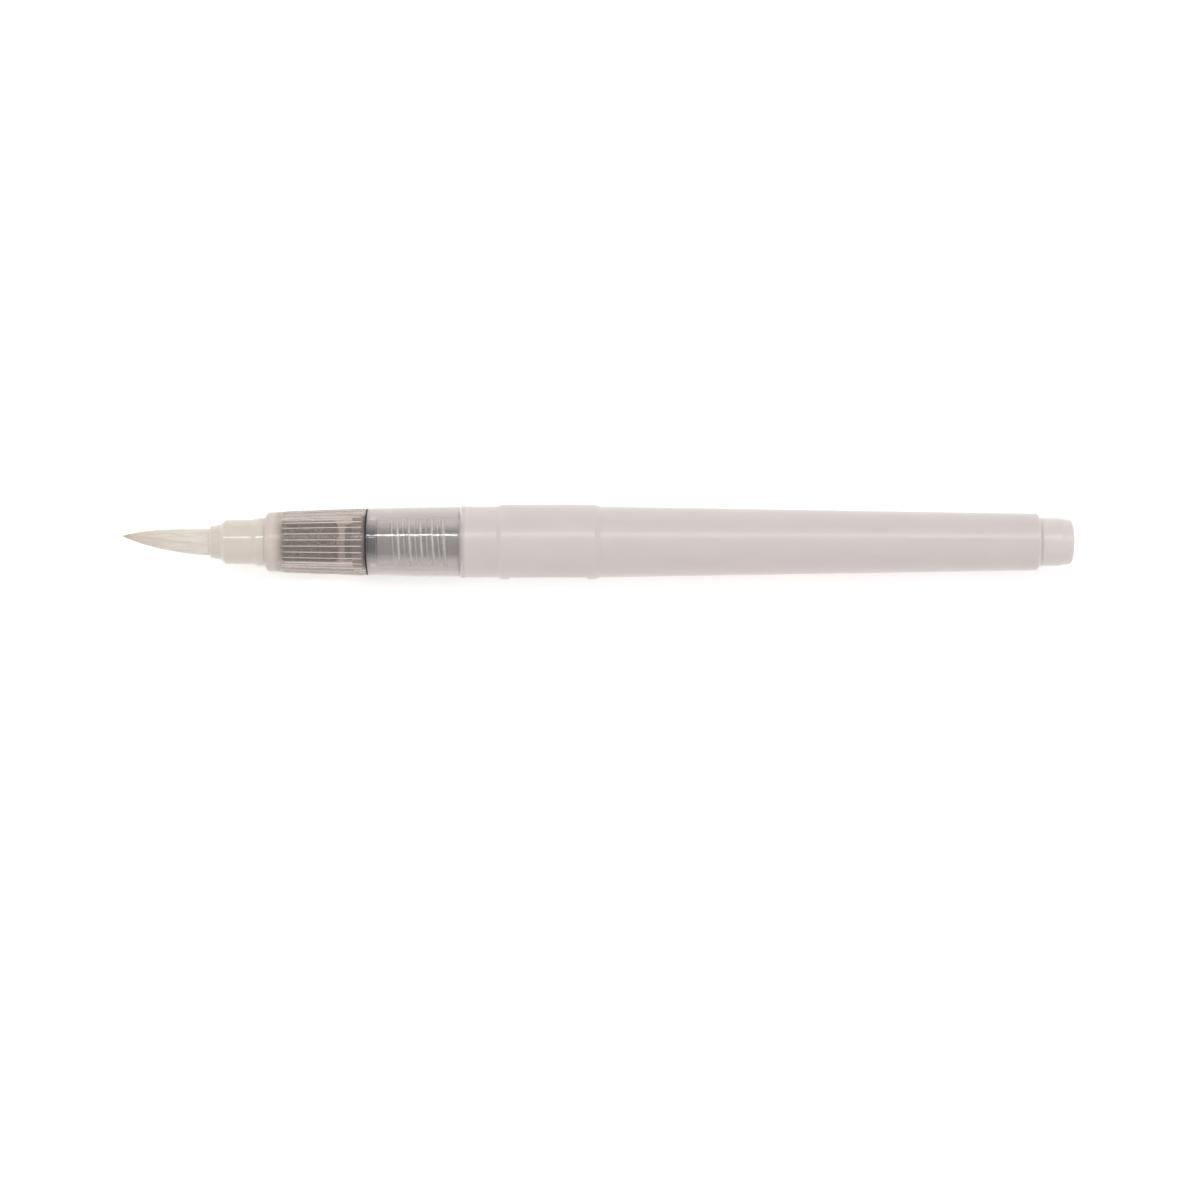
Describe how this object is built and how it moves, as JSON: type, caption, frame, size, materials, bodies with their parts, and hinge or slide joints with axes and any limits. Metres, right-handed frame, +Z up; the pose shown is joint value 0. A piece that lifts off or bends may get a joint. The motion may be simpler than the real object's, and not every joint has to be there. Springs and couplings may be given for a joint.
{
  "type": "water brush pen",
  "caption": "Refillable water brush pen without its cap: bristle tip, ribbed grip, clear screw coupling and squeezable water barrel.",
  "frame": {"origin": "centre of the pen's length, on the surface it lies on, straight below its axis", "axes": "+X along the pen from the brush tip to the tail, +Z up from the surface; the band's flat faces -Y"},
  "size_m": [0.16, 0.0126, 0.0126],
  "materials": {
    "bristle": "fine cream nylon filaments",
    "milky_plastic": "smooth, milky white",
    "translucent_plastic": "frosted, see-through, finely ribbed",
    "porous_filter": "porous grey granules",
    "wick_fibre": "white bundled fibre",
    "dark_plastic": "smooth dark grey",
    "black_rubber": "matt black",
    "clear_plastic": "clear, glossy",
    "barrel_plastic": "milky, soft satin"
  },
  "bodies": {
    "barrel": {"reservoir": "barrel_plastic", "tail_plug": "milky_plastic"},
    "carrier": {"joint_gasket": "black_rubber"},
    "head": {"tuft_root": "bristle", "tuft_collar": "bristle", "nozzle": "milky_plastic", "front_shell": "translucent_plastic", "flow_filter": "porous_filter", "feed_wick": "wick_fibre", "feed_plug": "dark_plastic", "coupling_sleeve": "clear_plastic"},
    "tuft": {"brush_tuft": "bristle"}
  },
  "joints": [
    {"name": "head_advance", "type": "slide", "parent": "barrel", "child": "carrier", "axis": [-1, 0, 0], "range_m": [0, 0.01615]},
    {"name": "head_unscrew", "type": "hinge", "parent": "carrier", "child": "head", "pos_m": [-0.0386, 0, 0.00624], "axis": [-1, 0, 0], "range_deg": [0, 3060]},
    {"name": "brush_flex", "type": "hinge", "parent": "head", "child": "tuft", "pos_m": [-0.0666, 0, 0.00624], "axis": [0, 0, 1], "range_deg": [-30, 30], "stiffness_Nm_per_rad": 0.0012}
  ],
  "couplings": [
    {"joint": "head_advance", "follows": "head_unscrew", "m_per_rad": 0.00030239}
  ]
}
